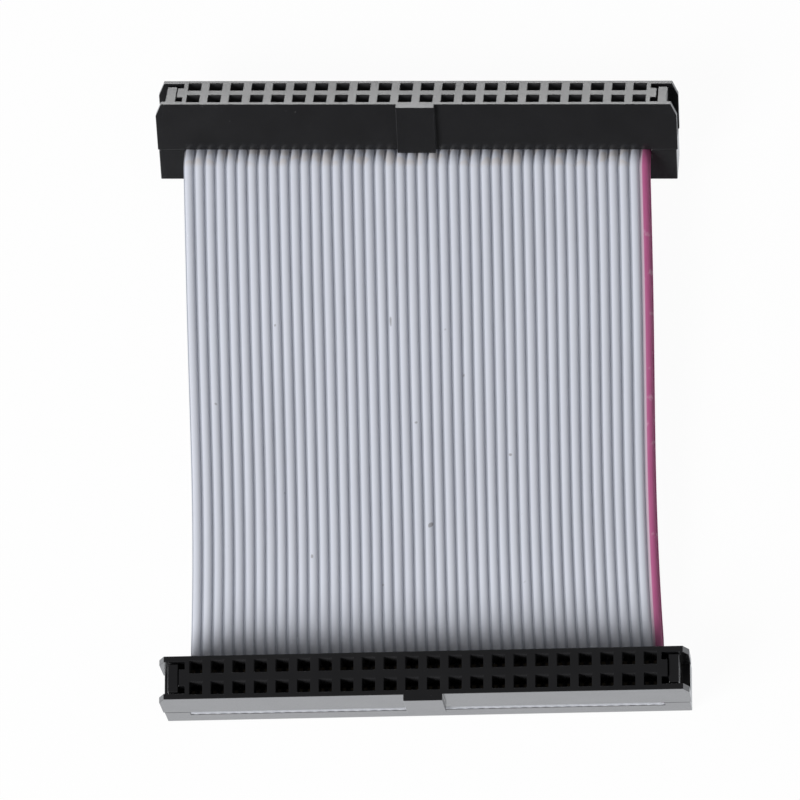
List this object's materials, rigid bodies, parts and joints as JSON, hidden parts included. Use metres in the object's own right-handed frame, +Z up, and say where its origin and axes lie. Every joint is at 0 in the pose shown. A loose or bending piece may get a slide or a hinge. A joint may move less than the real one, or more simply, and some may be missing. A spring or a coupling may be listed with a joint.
{
  "type": "ide ribbon cable",
  "caption": "Short grey flat ribbon cable with a magenta edge wire and a black double-row socket connector pressed on at each end.",
  "frame": {"origin": "centre of the bounding box's base, on the surface the cable lies on", "axes": "+X along the near connector towards the magenta edge wire, +Y from the near connector, which lies flat, towards the far connector, which leans back, +Z up"},
  "size_m": [0.0496, 0.0612, 0.0095],
  "materials": {
    "black_plastic": "black glass-filled polyester, moulded semi-gloss",
    "grey_insulation": "satin cool grey PVC with a magenta edge wire",
    "plated_bronze": "plated spring bronze on tinned copper wire"
  },
  "bodies": {
    "root": {"near_housing": "black_plastic", "near_cover": "black_plastic", "far_housing": "black_plastic", "far_cover": "black_plastic", "ribbon_insulation": "grey_insulation", "conductor_01": "plated_bronze", "conductor_02": "plated_bronze", "conductor_03": "plated_bronze", "conductor_04": "plated_bronze", "conductor_05": "plated_bronze", "conductor_06": "plated_bronze", "conductor_07": "plated_bronze", "conductor_08": "plated_bronze", "conductor_09": "plated_bronze", "conductor_10": "plated_bronze", "conductor_11": "plated_bronze", "conductor_12": "plated_bronze", "conductor_13": "plated_bronze", "conductor_14": "plated_bronze", "conductor_15": "plated_bronze", "conductor_16": "plated_bronze", "conductor_17": "plated_bronze", "conductor_18": "plated_bronze", "conductor_19": "plated_bronze", "conductor_20": "plated_bronze", "conductor_21": "plated_bronze", "conductor_22": "plated_bronze", "conductor_23": "plated_bronze", "conductor_24": "plated_bronze", "conductor_25": "plated_bronze", "conductor_26": "plated_bronze", "conductor_27": "plated_bronze", "conductor_28": "plated_bronze", "conductor_29": "plated_bronze", "conductor_30": "plated_bronze", "conductor_31": "plated_bronze", "conductor_32": "plated_bronze", "conductor_33": "plated_bronze", "conductor_34": "plated_bronze", "conductor_35": "plated_bronze", "conductor_36": "plated_bronze", "conductor_37": "plated_bronze", "conductor_38": "plated_bronze", "conductor_39": "plated_bronze", "conductor_40": "plated_bronze", "conductor_41": "plated_bronze", "conductor_42": "plated_bronze", "conductor_43": "plated_bronze", "conductor_44": "plated_bronze"}
  },
  "joints": []
}
